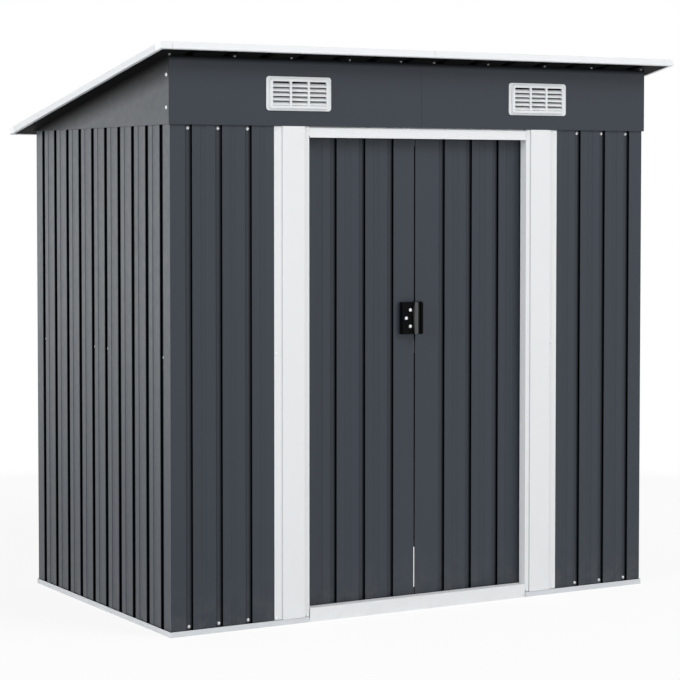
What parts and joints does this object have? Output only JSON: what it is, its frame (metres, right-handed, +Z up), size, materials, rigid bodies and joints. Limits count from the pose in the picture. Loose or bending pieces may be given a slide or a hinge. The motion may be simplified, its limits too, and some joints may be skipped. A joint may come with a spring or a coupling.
{
  "type": "metal storage shed",
  "caption": "Low pent-roofed garden shed of ribbed steel sheet, with sliding doors, white door posts and roof edging, and louvred vents under the eaves.",
  "frame": {"origin": "on the ground under the middle of the roof", "axes": "+Z up, +X along the shed's width to the right as seen from the front, +Y from the doors to the rear"},
  "size_m": [1.94, 1.21, 1.8116],
  "materials": {
    "anthracite_steel": "semi-gloss painted sheet",
    "white_steel": "gloss painted sheet",
    "pale_steel": "satin painted sheet",
    "white_plastic": "moulded",
    "black_plastic": "moulded",
    "galvanised_steel": "galvanised"
  },
  "bodies": {
    "root": {"base_rail_front_left": "pale_steel", "base_rail_front_right": "pale_steel", "base_rail_left": "pale_steel", "base_rail_rear": "pale_steel", "base_rail_right": "pale_steel", "door_head_rail": "white_steel", "door_post_left": "white_steel", "door_post_right": "white_steel", "door_sill": "pale_steel", "door_track": "galvanised_steel", "fascia_left": "anthracite_steel", "fascia_right": "anthracite_steel", "front_panel_left": "anthracite_steel", "front_panel_right": "anthracite_steel", "gable_left": "anthracite_steel", "gable_right": "anthracite_steel", "mid_rail_left": "galvanised_steel", "mid_rail_rear": "galvanised_steel", "mid_rail_right": "galvanised_steel", "rear_wall": "anthracite_steel", "roof_beam": "galvanised_steel", "roof_corner_caps": "white_steel", "roof_sheet_left": "anthracite_steel", "roof_sheet_middle": "anthracite_steel", "roof_sheet_right": "anthracite_steel", "roof_trim_front_left": "white_steel", "roof_trim_front_right": "white_steel", "roof_trim_left": "white_steel", "roof_trim_rear": "white_steel", "roof_trim_right": "white_steel", "side_wall_left": "anthracite_steel", "side_wall_right": "anthracite_steel", "top_rail_front": "galvanised_steel", "top_rail_left": "galvanised_steel", "top_rail_rear": "galvanised_steel", "top_rail_right": "galvanised_steel", "vent_left": "white_plastic", "vent_right": "white_plastic"},
    "door_left": {"door_sheet_left": "anthracite_steel", "door_rails_left": "galvanised_steel", "door_glides_left": "black_plastic", "door_handle_left": "black_plastic"},
    "door_right": {"door_sheet_right": "anthracite_steel", "door_rails_right": "galvanised_steel", "door_glides_right": "black_plastic", "door_handle_right": "black_plastic"}
  },
  "joints": [
    {"name": "door_left_slide", "type": "slide", "parent": "root", "child": "door_left", "axis": [-1, 0, 0], "range_m": [0, 0.34]},
    {"name": "door_right_slide", "type": "slide", "parent": "root", "child": "door_right", "axis": [1, 0, 0], "range_m": [0, 0.34]}
  ]
}
